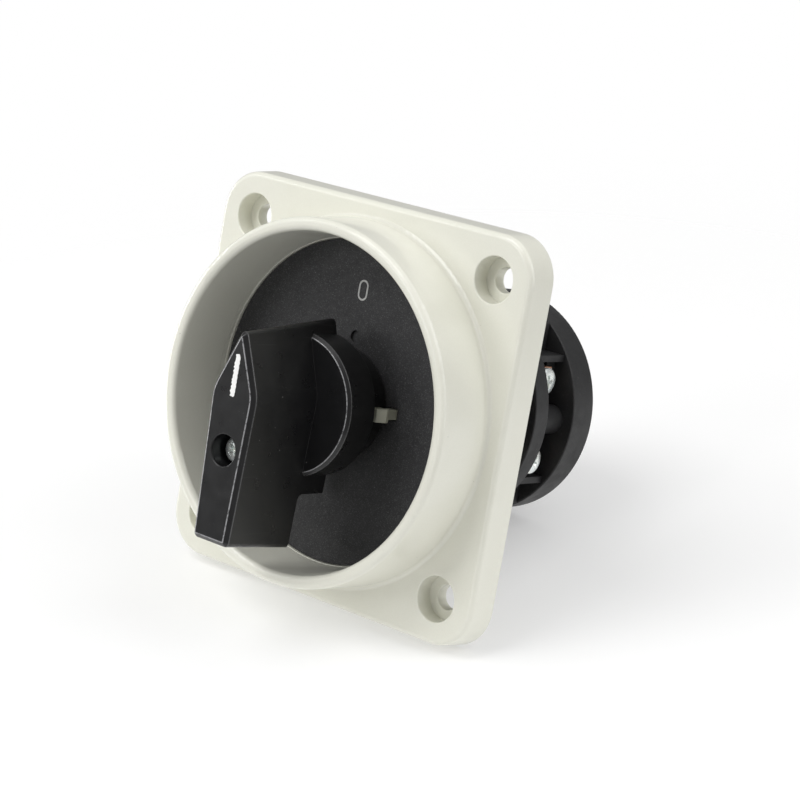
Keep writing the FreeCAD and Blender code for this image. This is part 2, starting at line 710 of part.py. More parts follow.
def contact_room(y0, level):
    """The hollow of one contact: plunger guide, spring well, bridge room and strip channels."""
    gap = d.plunger_gap
    strip = d.strip_gap
    front = y0 + d.guide_start
    back = front + d.guide_depth
    deep = (front - gap, y0 + d.deck_pitch + 1)
    room = [
        box(-d.plunger_half - gap, d.plunger_half + gap, *deep,
            *sorted_pair(level * as_size(6), level * d.well_end)),
        box(-d.bridge_room, d.bridge_room, *deep,
            *sorted_pair(level * (d.strip_low - strip), level * d.bridge_ceiling))]
    for _, side in SIDES:
        riser = d.strip_riser + strip
        room.append(side_box(side, d.strip_inner - strip, riser, front - strip, back + strip,
                             level, d.strip_low - strip, d.strip_top + strip))
        room.append(side_box(side, d.strip_riser - 1.2, d.tab_outer, front - strip, back + strip,
                             level, d.strip_top - 1.2, d.bay_tall))
        x0 = d.terminal_end - 0.3 if side > 0 else -d.bay_half
        room.append(rod(d.terminal_shank + 0.3,
                        (x0, y0 + d.terminal_deep, level * d.terminal_place),
                        d.bay_half - d.terminal_end + 0.3, ALONG_X))
    return room


def cam(name, index):
    """The two-lobed cam: its rim falls evenly from high to low in each quarter turn."""
    high = DIMENSIONS["cam_high"]
    fall = high - DIMENSIONS["cam_low"]
    y0 = deck_start(index) + d.disc_depth + d.cam_margin
    depth = d.deck_pitch - d.disc_depth - d.cam_margin * 2
    steps = 12
    edges = []
    for quarter in range(4):
        points = []
        for step in range(steps + 1):
            share = step / steps
            radius = high - fall * (share if quarter % 2 == 0 else 1 - share)
            angle = math.radians(90 * (quarter + share))
            points.append(Vector(-radius * math.sin(angle), 0, radius * math.cos(angle)))
        curve = Part.BSplineCurve()
        curve.interpolate(points)
        edges.append(curve.toShape())
    profile = Part.Face(Part.Wire(edges))
    blank = doc.addObject("Part::Feature", "cam_blank")
    blank.Shape = profile.extrude(Vector(0, depth.value, 0))
    place(blank, ZERO, y0, ZERO)
    sub_part(f"cam_{name}", cut(blank, square_hole(y0 - 1, y0 + depth + 1)))


def plunger(name, index, level_name, level):
    """The slide that the cam pushes out, with a window for the bridge and a narrow nose."""
    y0 = deck_start(index) + d.guide_start
    y1 = y0 + d.guide_depth
    foot = d.cam_high + d.plunger_gap
    half = d.plunger_half
    nose = as_size(0.6)
    rise = foot + 1.4
    outline = [(-nose, level * foot), (nose, level * foot), (half, level * rise),
               (half, level * d.plunger_top), (-half, level * d.plunger_top),
               (-half, level * rise)]
    body = pad(f"slide_{name}_{level_name}", outline, y1, y0)
    low, high = sorted_pair(level * d.bridge_low, level * (d.bridge_low + d.bridge_thick))
    window = box(-half - 1, half + 1, y0 + 1, y1 - 1, low, high)
    sub_part(f"plunger_{name}_{level_name}", cut(body, window))


def bridge(name, index, level_name, level):
    """The moving contact: a copper bar through the plunger's window with two silver tips."""
    y0 = deck_start(index) + d.guide_start + 1
    y1 = y0 + d.guide_depth - 2
    low, high = sorted_pair(level * d.bridge_low, level * (d.bridge_low + d.bridge_thick))
    bar = box(-d.bridge_half, d.bridge_half, y0, y1, low, high)
    tip_low = sorted_pair(level * (d.bridge_low - d.tip_thick), level * d.bridge_low)[0]
    tips = [rod(d.tip_radius, (s * d.tip_place, (y0 + y1) / 2, tip_low), d.tip_thick, ALONG_Z)
            for s in (-1, 1)]
    sub_part(f"contact_bridge_{name}_{level_name}", fuse(bar, *tips))


def contact_spring(name, index, level_name, level):
    """The coil spring between the plunger and the end of its well."""
    low, high = sorted_pair(level * d.plunger_top, level * d.well_end)
    height = high.value - low.value
    wire = DIMENSIONS["spring_wire"]
    radius = DIMENSIONS["spring_radius"] - wire
    pitch = (height - 2 * wire - 0.1) / DIMENSIONS["spring_turns"]
    helix = Part.makeHelix(pitch, pitch * DIMENSIONS["spring_turns"], radius)
    ring = Part.Wire(Part.makeCircle(wire, Vector(radius, 0, 0), Vector(0, 1, 0)))
    coil = Part.Wire(helix.Edges).makePipeShell([ring], True, True)
    spring = doc.addObject("Part::Feature", "coil")
    spring.Shape = coil
    middle = deck_start(index) + d.guide_start + d.guide_depth / 2
    place(spring, ZERO, middle, low + wire + 0.05)
    sub_part(f"contact_spring_{name}_{level_name}", spring)


def terminal_strip(name, index, level_name, level, side_name, side):
    """A fixed contact: a bent strip from its silver tip out to the tapped terminal tab."""
    y0 = deck_start(index) + d.guide_start
    y1 = y0 + d.guide_depth
    thick = d.strip_thick
    riser = d.strip_riser
    profile = [
        (d.strip_inner, d.strip_low), (riser, d.strip_low), (riser, d.strip_top - 1),
        (d.tab_outer - thick, d.strip_top - 1), (d.tab_outer - thick, d.tab_low),
        (d.tab_outer, d.tab_low), (d.tab_outer, d.strip_top), (riser - 1, d.strip_top),
        (riser - 1, d.strip_low + thick), (d.strip_inner, d.strip_low + thick)]
    body = pad(f"strip_{name}", [(side * x, level * z) for x, z in profile], y1, y0)
    tip_start = sorted_pair(level * (d.strip_low + thick),
                            level * (d.strip_low + thick + d.tip_thick))[0]
    tip = rod(d.tip_radius, (side * d.tip_place, (y0 + y1) / 2, tip_start), d.tip_thick, ALONG_Z)
    across = d.tab_outer + 1
    hole = rod(d.terminal_shank + d.fit_gap,
               (-across if side < 0 else riser, deck_start(index) + d.terminal_deep,
                level * d.terminal_place), across - riser, ALONG_X)
    sub_part(f"terminal_{name}_{level_name}_{side_name}", cut(fuse(body, tip), hole))


def terminal_hardware():
    """All terminal screws as one group and all their square clamp plates as another."""
    screws = []
    clamps = []
    plate_thick = d.terminal_face - d.terminal_cheese - d.tab_outer
    for index in range(len(DECK_NAMES)):
        y = deck_start(index) + d.terminal_deep
        for _, side in SIDES:
            for _, level in LEVELS:
                z = level * d.terminal_place
                screw = cross_screw(d.terminal_head, d.terminal_cheese, d.terminal_shank,
                                    d.terminal_face - d.terminal_end)
                turn = Rotation(Vector(0, 0, 1), 90 * side)
                screws.append(standing(screw, (side * d.terminal_face, y, z), turn))
                x0, x1 = sorted_pair(side * d.tab_outer, side * (d.tab_outer + plate_thick))
                plate = box(x0, x1, y - d.clamp_half, y + d.clamp_half,
                            z - d.clamp_half, z + d.clamp_half)
                hole = rod(d.terminal_shank + 0.2, (x0 - 1, y, z), plate_thick + 2, ALONG_X)
                clamps.append(cut(plate, hole))
    sub_part("terminal_screws", group(*screws))
    sub_part("terminal_clamps", group(*clamps))


def contact_decks():
    """Both decks with their cams, contacts and springs."""
    for index, name in enumerate(DECK_NAMES):
        deck_housing(name, index)
        cam(name, index)
        for level_name, level in LEVELS:
            plunger(name, index, level_name, level)
            bridge(name, index, level_name, level)
            contact_spring(name, index, level_name, level)
            for side_name, side in SIDES:
                terminal_strip(name, index, level_name, level, side_name, side)
    terminal_hardware()


# ---------------------------------------------------------------- rear cover and long screws
def rear_cover():
    """The end cover: closes the last deck, carries the shaft's tail and the tie screws' heads."""
    y0 = deck_start(len(DECK_NAMES))
    back = y0 + d.cover_depth
    solid = revolve("cover", [
        (ZERO, y0), (d.cover_radius, y0), (d.cover_radius - d.cover_taper, back), (ZERO, back)])
    body_fillet(solid, d.cover_round, at_plane(back))
    body_fillet(solid, d.disc_round, circle_at(y0, d.cover_radius))
    tools = [rod(d.shaft_hole, (0, y0 - 1, 0), d.shaft_back - y0 + 1.5),
             rod(d.tail_journal + d.fit_gap, (0, y0, 0), d.tail_journal_end - y0 + 0.3),
             rod(d.dish_radius, (0, back - d.dish_depth, 0), 5)]
    for sign in (-1, 1):
        spot = (sign * d.column_place, y0 - 1, 0)
        tools.append(rod(d.tie_hole, spot, d.cover_depth + 2))
        head = (sign * d.column_place, back - d.tie_cheese - d.tie_sunk, 0)
        tools.append(rod(d.tie_bore, head, 5))
    sub_part("rear_cover", cut(solid, *tools))


def long_screws():
    """The two tie screws through all decks, and the two screws that hold the front plate."""
    back = deck_start(len(DECK_NAMES)) + d.cover_depth - d.tie_sunk
    ties = []
    fixings = []
    for sign in (-1, 1):
        tie = cross_screw(d.tie_head, d.tie_cheese, d.tie_shank, back - d.tie_start)
        ties.append(standing(tie, (sign * d.column_place, back, 0), Rotation(Vector(1, 0, 0), 180)))
        fixing = cross_screw(d.fixing_head, d.fixing_cheese, d.fixing_shank,
                             d.fixing_end - dial_back)
        fixings.append(standing(fixing, (0, dial_back, sign * d.fixing_place)))
    sub_part("tie_screws", group(*ties))
    sub_part("front_plate_screws", group(*fixings))


# ---------------------------------------------------------------- the whole switch
def check(thing):
    """Stop on a piece that failed to build."""
    shape = thing.Shape
    if shape.isNull() or not shape.isValid() or not shape.Solids:
        raise RuntimeError(f"{thing.Label} has no valid solid")


front_plate()
shaft_bush()
dial_plate()
dial_marks()
rotor_parts()
index_housing()
index_wheel()
for spring_name, spring_level in LEVELS:
    index_spring(spring_name, spring_level)
contact_decks()
rear_cover()
long_screws()
doc.recompute()

for item in doc.Objects:
    if "Invalid" in item.State or "Error" in item.State:
        raise RuntimeError(f"{item.Label} ({item.Name}) failed: {item.State}")
for piece in sub_parts:
    check(piece)
os.makedirs("parts", exist_ok=True)
for piece in sub_parts:
    piece.Shape.exportStep(f"parts/{piece.Label}.step")
    size = piece.Shape.BoundBox
    print(f"{piece.Label}: {len(piece.Shape.Solids)} solid(s), {piece.Shape.Volume:.0f} mm3,"
          f" x {size.XMin:.1f}..{size.XMax:.1f} y {size.YMin:.1f}..{size.YMax:.1f}"
          f" z {size.ZMin:.1f}..{size.ZMax:.1f}")
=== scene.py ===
"""Looks of a rotary isolator switch: finishes, details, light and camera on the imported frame."""
import json
import math
import random

import bmesh
import bpy
from mathutils import Matrix, Vector


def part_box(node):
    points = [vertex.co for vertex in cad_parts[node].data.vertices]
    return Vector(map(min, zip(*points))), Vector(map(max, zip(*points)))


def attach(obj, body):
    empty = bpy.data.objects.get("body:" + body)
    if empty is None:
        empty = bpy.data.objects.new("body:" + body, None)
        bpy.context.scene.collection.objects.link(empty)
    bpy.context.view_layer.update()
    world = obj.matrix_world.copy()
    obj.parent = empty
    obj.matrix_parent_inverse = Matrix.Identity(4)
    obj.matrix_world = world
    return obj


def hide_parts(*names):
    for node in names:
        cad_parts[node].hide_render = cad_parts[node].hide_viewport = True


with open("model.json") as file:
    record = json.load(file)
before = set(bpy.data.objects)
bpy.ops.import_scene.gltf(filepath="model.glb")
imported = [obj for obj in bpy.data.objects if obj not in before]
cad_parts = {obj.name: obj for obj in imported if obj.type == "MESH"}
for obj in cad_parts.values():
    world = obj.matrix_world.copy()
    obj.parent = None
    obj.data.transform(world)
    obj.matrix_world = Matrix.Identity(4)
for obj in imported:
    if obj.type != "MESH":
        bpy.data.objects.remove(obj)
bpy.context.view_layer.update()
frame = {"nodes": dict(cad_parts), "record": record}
scene = bpy.context.scene
record = frame["record"]
MM = 0.001
EDGE_ROUND = 0.14 * MM
HOOK_REACH = 17.5 * MM


# ---------------------------------------------------------------- finishes
class Finish:
    """One procedural material; its textures run in object coordinates, scaled per metre."""

    def __init__(self, name, **fixed):
        self.material = bpy.data.materials.new("finish_" + name)
        self.material.use_nodes = True
        self.tree = self.material.node_tree
        self.shader = self.tree.nodes["Principled BSDF"]
        for label, value in fixed.items():
            self.shader.inputs[label.replace("_", " ")].default_value = value
        self.space = self.tree.nodes.new("ShaderNodeTexCoord").outputs["Object"]
        edge = self.node("Bevel", samples=6)
        edge.inputs["Radius"].default_value = EDGE_ROUND
        self.relief = edge.outputs["Normal"]

    def node(self, kind, **settings):
        """A new node with its settings."""
        node = self.tree.nodes.new("ShaderNode" + kind)
        for label, value in settings.items():
            setattr(node, label, value)
        return node

    def join(self, source, target):
        """Link an output to an input."""
        self.tree.links.new(source, target)

    def stretched(self, scale):
        """Object coordinates with their own scale along each axis."""
        mapping = self.node("Mapping")
        mapping.inputs["Scale"].default_value = scale
        self.join(self.space, mapping.inputs["Vector"])
        return mapping.outputs["Vector"]

    def noise(self, scale, detail=3.0, rough=0.55, distortion=0.0, space=None):
        """Fractal noise, about 0.3 to 0.7."""
        noise = self.node("TexNoise")
        noise.inputs["Scale"].default_value = scale
        noise.inputs["Detail"].default_value = detail
        noise.inputs["Roughness"].default_value = rough
        noise.inputs["Distortion"].default_value = distortion
        self.join(space or self.space, noise.inputs["Vector"])
        return noise.outputs["Fac"]

    def specks(self, scale, radius, share):
        """Small round spots: one in each chosen cell of a scattered grid."""
        cells = self.node("TexVoronoi")
        cells.inputs["Scale"].default_value = scale
        self.join(self.space, cells.inputs["Vector"])
        picked = self.ramp(self.channel(cells.outputs["Color"]), 1 - share, 1 - share + 0.01)
        spot = self.ramp(cells.outputs["Distance"], radius, radius * 0.6)
        return self.times(picked, spot)

    def from_axis(self):
        """The distance from the shaft's axis."""
        flat = self.stretched((1.0, 0.0, 1.0))
        length = self.node("VectorMath", operation="LENGTH")
        self.join(flat, length.inputs[0])
        return length.outputs["Value"]

    def channel(self, colour):
        """The red channel of a colour."""
        split = self.node("SeparateColor")
        self.join(colour, split.inputs["Color"])
        return split.outputs["Red"]

    def ramp(self, value, start, end, low=0.0, high=1.0, kind="LINEAR"):
        """Map a value's range to another, clamped."""
        ramp = self.node("MapRange", interpolation_type=kind)
        for label, number in (("From Min", start), ("From Max", end), ("To Min", low),
                              ("To Max", high)):
            ramp.inputs[label].default_value = number
        self.join(value, ramp.inputs["Value"])
        return ramp.outputs["Result"]

    def times(self, first, second):
        """The product of two values, the second an output or a number."""
        product = self.node("Math", operation="MULTIPLY")
        self.join(first, product.inputs[0])
        if isinstance(second, float):
            product.inputs[1].default_value = second
        else:
            self.join(second, product.inputs[1])
        return product.outputs[0]

    def blend(self, share, first, second):
        """Mix two colours; each is an output or a triple."""
        mix = self.node("Mix", data_type="RGBA")
        self.join(share, mix.inputs["Factor"])
        for socket, colour in ((mix.inputs[6], first), (mix.inputs[7], second)):
            if isinstance(colour, tuple):
                socket.default_value = (*colour, 1)
            else:
                self.join(colour, socket)
        return mix.outputs[2]

    def colour(self, source):
        """Drive the base colour."""
        self.join(source, self.shader.inputs["Base Color"])

    def gloss(self, value, low, high):
        """Drive the roughness from a noise between two values."""
        self.join(self.ramp(value, 0.3, 0.7, low, high), self.shader.inputs["Roughness"])

    def bump(self, height, depth):
        """Add relief of a depth in metres over what is already there."""
        bump = self.node("Bump")
        bump.inputs["Strength"].default_value = 1.0
        bump.inputs["Distance"].default_value = depth
        self.join(height, bump.inputs["Height"])
        self.join(self.relief, bump.inputs["Normal"])
        self.relief = bump.outputs["Normal"]
        self.join(self.relief, self.shader.inputs["Normal"])


def beige_plastic():
    """Satin thermoplastic: flow mottling, orange peel, a few dark specks and painted shade on the
    snap hooks.
    """
    finish = Finish("beige_plastic", IOR=1.5, Coat_Weight=0.55, Coat_Roughness=0.07)
    mottle = finish.ramp(finish.noise(55.0, 4.0, 0.6, 0.6), 0.3, 0.7)
    base = finish.blend(mottle, (0.770, 0.766, 0.675), (0.800, 0.797, 0.710))
    grain = finish.noise(2600.0, 2.0)
    base = finish.blend(finish.ramp(grain, 0.3, 0.7, 0.0, 0.10), base, (0.60, 0.59, 0.50))
    base = finish.blend(finish.times(finish.specks(330.0, 0.045, 0.22), 0.60), base,
                        (0.20, 0.19, 0.16))
    # Painted shade: within HOOK_REACH of the shaft's axis, where the snap hooks stand, the beige is
    # darkened to an olive grey that stands for the handle's shadow.
    painted_hook_shade = finish.ramp(finish.from_axis(), HOOK_REACH, HOOK_REACH * 0.94, 0.0, 0.8)
    finish.colour(finish.blend(painted_hook_shade, base, (0.20, 0.20, 0.155)))
    finish.gloss(finish.noise(420.0, 3.0), 0.28, 0.40)
    finish.bump(finish.noise(900.0, 2.0, 0.5), 0.000010)
    finish.bump(grain, 0.0000025)
    return finish.material


def dial_black():
    """Matte black with a spark-eroded texture that catches light in fine points."""
    finish = Finish("dial_black", IOR=1.48)
    pits = finish.noise(4200.0, 3.0, 0.7)
    cloud = finish.ramp(finish.noise(140.0, 3.0), 0.3, 0.7)
    base = finish.blend(cloud, (0.0175, 0.0175, 0.0190), (0.0225, 0.0225, 0.0240))
    base = finish.blend(finish.ramp(pits, 0.54, 0.70), base, (0.095, 0.095, 0.098))
    base = finish.blend(finish.times(finish.specks(640.0, 0.07, 0.10), 0.8), base,
                        (0.22, 0.22, 0.215))
    finish.colour(base)
    finish.gloss(finish.noise(700.0, 3.0), 0.50, 0.66)
    finish.bump(pits, 0.000030)
    return finish.material


def handle_black():
    """Smooth moulded black with a soft gloss, handling dust and a few hairline scratches."""
    finish = Finish("handle_black", IOR=1.44, Coat_Weight=0.08, Coat_Roughness=0.14)
    sheen = finish.noise(75.0, 4.0, 0.6, 0.8)
    base = finish.blend(finish.ramp(sheen, 0.3, 0.7), (0.0062, 0.0062, 0.0068),
                        (0.0092, 0.0092, 0.0098))
    hairs = finish.noise(1700.0, 1.0, 0.4, 0.0, finish.stretched((1.0, 0.02, 1.6)))
    scratch = finish.ramp(hairs, 0.74, 0.77)
    base = finish.blend(finish.times(scratch, 0.16), base, (0.08, 0.08, 0.08))
    dust = finish.specks(700.0, 0.10, 0.30)
    lint = finish.specks(300.0, 0.050, 0.30)
    base = finish.blend(finish.times(dust, 0.40), base, (0.10, 0.10, 0.10))
    base = finish.blend(finish.times(lint, 0.70), base, (0.22, 0.22, 0.21))
    finish.colour(base)
    finish.gloss(finish.noise(260.0, 4.0, 0.6), 0.26, 0.38)
    finish.bump(finish.noise(900.0, 2.0), 0.000003)
    return finish.material


def painted_edge_highlight(name, bright, mark_level):
    """Black moulding with a painted highlight: a broken, shiny grey line along an edge, standing
    for light caught there.
    """
    finish = Finish(name, IOR=1.5, Coat_Weight=0.2, Coat_Roughness=0.10)
    # Painted highlight: noise picks where the grey line shows along the edge.
    highlight_line = finish.ramp(finish.noise(950.0, 4.0, 0.7), mark_level, mark_level + 0.16)
    finish.colour(finish.blend(highlight_line, (0.012, 0.012, 0.013), bright))
    finish.gloss(finish.noise(600.0, 3.0), 0.20, 0.34)
    finish.bump(highlight_line, 0.000006)
    return finish.material


def bakelite():
    """Phenolic moulding: darker flow lines, filler grain and a duller skin than the handle."""
    finish = Finish("bakelite", IOR=1.43)
    flow = finish.noise(95.0, 5.0, 0.62, 1.6)
    base = finish.blend(finish.ramp(flow, 0.3, 0.7), (0.0115, 0.0115, 0.0122),
                        (0.0180, 0.0180, 0.0188))
    grain = finish.noise(3400.0, 3.0, 0.6)
    base = finish.blend(finish.ramp(grain, 0.58, 0.74, 0.0, 0.75), base, (0.046, 0.045, 0.045))
    chalk = finish.specks(430.0, 0.05, 0.08)
    base = finish.blend(finish.times(chalk, 0.65), base, (0.17, 0.16, 0.15))
    finish.colour(base)
    finish.gloss(finish.noise(300.0, 4.0, 0.6), 0.40, 0.58)
    finish.bump(grain, 0.000008)
    finish.bump(flow, 0.000030)
    return finish.material


def plated(name, cool, warm, low, high, lines=None, metal=1.0):
    """Bare or plated metal with a two-tone tint, uneven gloss and, if asked, drawing lines."""
    finish = Finish(name, Metallic=metal)
    tint = finish.ramp(finish.noise(520.0, 3.0, 0.6, 0.7), 0.35, 0.65)
    base = finish.blend(tint, cool, warm)
    stain = finish.ramp(finish.noise(1700.0, 4.0, 0.7), 0.60, 0.78, 0.0, 0.45)
    base = finish.blend(stain, base, tuple(part * 0.55 for part in cool))
    finish.colour(base)
    finish.gloss(finish.noise(900.0, 3.0, 0.6), low, high)
    finish.bump(finish.noise(2600.0, 2.0), 0.000004)
    if lines:
        finish.bump(finish.noise(1500.0, 2.0, 0.5, 0.0, finish.stretched(lines)), 0.000004)
    return finish.material


def cam_nylon():
    """Natural nylon: slightly translucent, warm and cloudy."""
    finish = Finish("cam_nylon", IOR=1.53, Subsurface_Weight=0.2, Subsurface_Scale=0.001)
    cloud = finish.ramp(finish.noise(190.0, 3.0, 0.6, 0.5), 0.3, 0.7)
    base = finish.blend(cloud, (0.70, 0.67, 0.55), (0.78, 0.76, 0.66))
    finish.colour(finish.blend(finish.times(finish.specks(700.0, 0.06, 0.06), 0.5), base,
                               (0.30, 0.27, 0.22)))
    finish.gloss(finish.noise(500.0, 3.0), 0.36, 0.52)
    finish.bump(finish.noise(1500.0, 3.0), 0.000008)
    return finish.material


def paint(name, light, dark, mark_level):
    """Printed or filled-in paint with grain and worn spots that let the black through."""
    finish = Finish(name)
    cloud = finish.ramp(finish.noise(900.0, 3.0, 0.6), 0.3, 0.7)
    base = finish.blend(cloud, dark, light)
    bare = finish.ramp(finish.noise(3800.0, 4.0, 0.7), 0.62, 0.72, 0.0, mark_level)
    finish.colour(finish.blend(bare, base, (0.05, 0.05, 0.05)))
    finish.gloss(finish.noise(1200.0, 3.0), 0.45, 0.70)
    finish.bump(finish.noise(3000.0, 3.0, 0.6), 0.000015)
    return finish.material


finishes = {
    "beige_plastic": beige_plastic(),
    "dial_black": dial_black(),
    "handle_black": handle_black(),
    # Painted highlights: a bright inner and a fainter outer grey line on the handle's edges.
    "handle_ridge": painted_edge_highlight("handle_ridge", (0.27, 0.27, 0.28), 0.33),
    "handle_verge": painted_edge_highlight("handle_verge", (0.050, 0.050, 0.052), 0.30),
    "bakelite": bakelite(),
    "cam_nylon": cam_nylon(),
    "print_grey": paint("print_grey", (0.58, 0.58, 0.57), (0.50, 0.50, 0.49), 0.7),
    "mark_white": paint("mark_white", (0.94, 0.94, 0.92), (0.88, 0.88, 0.86), 0.12),
    "zinc_steel": plated("zinc_steel", (0.84, 0.91, 0.92), (0.92, 0.93, 0.88), 0.20, 0.38,
                         metal=0.75),
    "shaft_steel": plated("shaft_steel", (0.56, 0.57, 0.58), (0.60, 0.59, 0.57), 0.24, 0.40,
                          (1.0, 0.03, 1.0)),
    "brass": plated("brass", (0.76, 0.58, 0.28), (0.82, 0.63, 0.33), 0.22, 0.40, (0.05, 1.0, 0.05)),
    "spring_steel": plated("spring_steel", (0.46, 0.47, 0.50), (0.55, 0.52, 0.46), 0.24, 0.40),
    "copper": plated("copper", (0.80, 0.42, 0.27), (0.86, 0.52, 0.36), 0.24, 0.46,
                     (0.05, 1.0, 0.05)),
}


# ---------------------------------------------------------------- mesh helpers
HANDLE_FINISHES = ("handle_black", "handle_ridge", "handle_verge")
# Slots of the painted highlight lines: RIDGE the bright inner one, VERGE the fainter outer one.
RIDGE, VERGE = 1, 2
SHARP_ANGLE = math.radians(38)
WELD = 0.0005 * MM
THREAD_PITCH = 0.7
THREAD_CORE = 0.82


def piece(label, solid, body, slot, stands_for=(), extra=()):
    """Turn a finished bmesh into a piece that rides on a body and takes a slot's finish."""
    mesh = bpy.data.meshes.new(label)
    bmesh.ops.recalc_face_normals(solid, faces=solid.faces)
    for face in solid.faces:
        face.smooth = True
    solid.to_mesh(mesh)
    solid.free()
    mesh.set_sharp_from_angle(angle=SHARP_ANGLE)
    mesh.materials.append(finishes[slot])
    for other in extra:
        mesh.materials.append(finishes[other])
    thing = bpy.data.objects.new(label, mesh)
    scene.collection.objects.link(thing)
    weighting = thing.modifiers.new("even_shading", "WEIGHTED_NORMAL")
    weighting.keep_sharp = True
    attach(thing, body)
    if stands_for:
        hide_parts(*stands_for)
    return thing


def lathe(solid, outline, turn, steps=64):
    """Turn an outline of (radius, depth) about the local Y axis and put it in place."""
    rings = []
    for radius, depth in outline:
        if radius == 0:
            rings.append([solid.verts.new(turn @ Vector((0, depth, 0)))])
            continue
        ring = []
        for step in range(steps):
            angle = 2 * math.pi * step / steps
            ring.append(solid.verts.new(turn @ Vector((radius * math.cos(angle), depth,
                                                       radius * math.sin(angle)))))
        rings.append(ring)
    for first, second in zip(rings, rings[1:]):
        for step in range(steps):
            following = (step + 1) % steps
            corners = [first[step % len(first)], first[following % len(first)],
                       second[following % len(second)], second[step % len(second)]]
            solid.faces.new(list(dict.fromkeys(corners)))
    return rings


def skin(solid, rings):
    """Join equal rings of vertices, each with the next, by four-sided faces."""
    count = len(rings[0])
    for first, second in zip(rings, rings[1:]):
        for index in range(count):
            following = (index + 1) % count
            solid.faces.new((first[index], first[following], second[following], second[index]))


def facing(place, axis, spin=0.0):
    """A transform that puts a shape built behind the local -Y face at a place, facing an axis."""
    turn = Vector((0, -1, 0)).rotation_difference(Vector(axis)).to_matrix().to_4x4()
    return Matrix.Translation(Vector(place)) @ turn @ Matrix.Rotation(spin, 4, "Y")


def recess_tool(long, wide, deep):
    """A tapered cross that a screwdriver would fill."""
    tool = bmesh.new()
    layers = []
    for depth, share in ((-0.4 * MM, 1.12), (deep * 0.75, 0.62), (deep, 0.30)):
        arm, web = long / 2 * share, wide / 2 * (0.55 + 0.45 * share)
        outline = [(web, web), (web, arm), (-web, arm), (-web, web), (-arm, web), (-arm, -web),
                   (-web, -web), (-web, -arm), (web, -arm), (web, -web), (arm, -web), (arm, web)]
        layers.append([tool.verts.new((x, depth, z)) for x, z in outline])
    skin(tool, layers)
    tool.faces.new(layers[0])
    tool.faces.new(reversed(layers[-1]))
    bmesh.ops.recalc_face_normals(tool, faces=tool.faces)
    return tool


def mesh_from(solid, label):
    """A plain object from a bmesh, for a boolean."""
    mesh = bpy.data.meshes.new(label)
    for name in HANDLE_FINISHES:
        mesh.materials.append(finishes[name])
    bmesh.ops.recalc_face_normals(solid, faces=solid.faces)
    solid.to_mesh(mesh)
    solid.free()
    thing = bpy.data.objects.new(label, mesh)
    scene.collection.objects.link(thing)
    return thing


def shell_from(rings):
    """A closed bmesh through equal rings of points in millimetres, with its ends filled."""
    solid = bmesh.new()
    layers = [[solid.verts.new(Vector(point) * MM) for point in ring] for ring in rings]
    skin(solid, layers)
    solid.faces.new(layers[0])
    solid.faces.new(reversed(layers[-1]))
    return solid


def turned_solid(outline, place=(0, 0, 0), steps=96):
    """A closed bmesh turned about Y, from an outline of (radius, y) in millimetres."""
    solid = bmesh.new()
    lathe(solid, [(radius * MM, y * MM) for radius, y in outline],
          Matrix.Translation(Vector(place) * MM), steps)
    return solid


def banded(solid, count, bands):
    """Give whole bands of faces, counted from the first ring, another of the handle's finishes."""
    solid.faces.ensure_lookup_table()
    for band, index in bands.items():
        for face in solid.faces[band * count:(band + 1) * count]:
            face.material_index = index
    return solid


def combined(base, steps):
    """Apply booleans in turn to a bmesh: each step is (operation, tool)."""
    thing = mesh_from(base, "blank")
    tools = []
    for number, (operation, tool) in enumerate(steps):
        tools.append(mesh_from(tool, f"tool_{number}"))
        change = thing.modifiers.new(f"step_{number}", "BOOLEAN")
        change.object = tools[-1]
        change.operation = operation
        change.solver = "EXACT"
    ready = bpy.context.evaluated_depsgraph_get()
    shape = bpy.data.meshes.new_from_object(thing.evaluated_get(ready))
    for spare in (thing, *tools):
        data = spare.data
        bpy.data.objects.remove(spare)
        bpy.data.meshes.remove(data)
    return shape


def screw_mesh(head, cheese, shank, total, long, wide=0.85, deep=1.1):
    """A pan-head screw: domed head with an under-cut neck, a cross recess and a rolled thread."""
    outline = [(0, 0)]
    dome = min(0.55, cheese * 0.35)
    for step in range(1, 9):
        angle = math.radians(90 * step / 8)
        outline.append((head * math.sin(angle) ** 0.82, dome * (1 - math.cos(angle))))
    core = shank * THREAD_CORE
    outline += [(head, cheese - 0.12), (head - 0.12, cheese), (core, cheese)]
    depth = cheese + 0.4
    while depth < total - 0.9:
        outline += [(core, depth), (shank, depth + THREAD_PITCH * 0.4),
                    (shank, depth + THREAD_PITCH * 0.55), (core, depth + THREAD_PITCH * 0.95)]
        depth += THREAD_PITCH
    outline += [(shank * 0.8, total - 0.4), (shank * 0.5, total), (0, total)]
    blank = turned_solid(outline, steps=48)
    tool = recess_tool(long * MM, wide * MM, deep * MM)
    return combined(blank, [("DIFFERENCE", tool)])


def placed(solid, shape, turn):
    """Add a copy of a mesh to a bmesh, moved into place."""
    start = len(solid.verts)
    solid.from_mesh(shape)
    solid.verts.ensure_lookup_table()
    for vertex in solid.verts[start:]:
        vertex.co = turn @ vertex.co


def screws(label, shape, seats, body, node, chance):
    """A group of equal screws, each turned to where its tightening happened to stop."""
    solid = bmesh.new()
    for place, axis in seats:
        placed(solid, shape, facing(place, axis, chance.uniform(0, math.pi / 2)))
    bmesh.ops.remove_doubles(solid, verts=solid.verts, dist=WELD)
    return piece(label, solid, body, "zinc_steel", (node,))


# ---------------------------------------------------------------- front plate
# Depth of the hollow's floor and the pins' distances from the axis, in millimetres.
PLATE_FLOOR = -3.6
PIN_REACHES = (34.0, 35.0)


